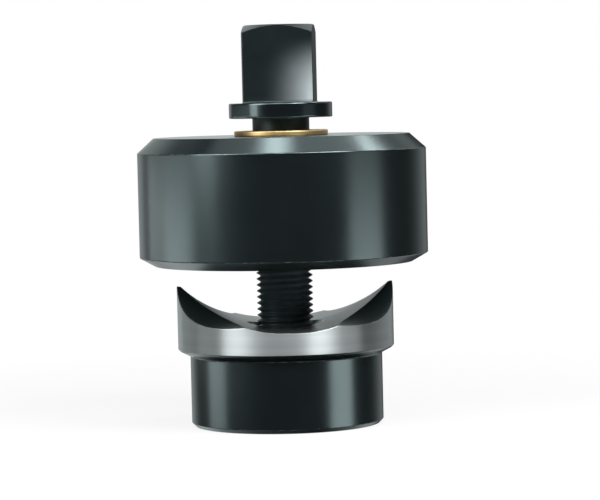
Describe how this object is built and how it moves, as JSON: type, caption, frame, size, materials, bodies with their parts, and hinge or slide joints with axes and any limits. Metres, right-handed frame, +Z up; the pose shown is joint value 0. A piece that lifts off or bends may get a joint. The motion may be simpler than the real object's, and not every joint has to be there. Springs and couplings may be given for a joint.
{
  "type": "sheet metal hole punch",
  "caption": "Draw-screw hole punch for sheet metal: a square-headed screw pulls a saddle-topped round punch into a cup-shaped die.",
  "frame": {"origin": "centre of the punch's lower face, on the screw's axis, which is the bottom centre of the whole tool as it stands", "axes": "+Z up the screw's axis, from the punch to the square head; the punch's two cutting tips lie on the X axis"},
  "size_m": [0.072, 0.072, 0.0996],
  "materials": {
    "black_oxide": "black oxide on turned steel, semi-gloss",
    "ground_steel": "blackened steel body with a ground cutting ring and saddle",
    "brass": "turned brass, satin"
  },
  "bodies": {
    "punch": {"punch": "ground_steel"},
    "die": {"die": "black_oxide"},
    "thrust_washer": {"thrust_washer": "brass"},
    "draw_screw": {"draw_screw": "black_oxide"}
  },
  "joints": [
    {"name": "screw_turn", "type": "hinge", "parent": "die", "child": "draw_screw", "pos_m": [0, 0, 0.08], "axis": [0, 0, 1], "range_deg": [-4680, 720]},
    {"name": "die_slide", "type": "slide", "parent": "punch", "child": "die", "axis": [0, 0, 1], "range_m": [-0.0195, 0.003]},
    {"name": "washer_lift", "type": "slide", "parent": "die", "child": "thrust_washer", "axis": [0, 0, 1], "range_m": [0, 0.0028]}
  ],
  "couplings": [
    {"joint": "screw_turn", "follows": "die_slide", "rad_per_m": 4188.8}
  ]
}
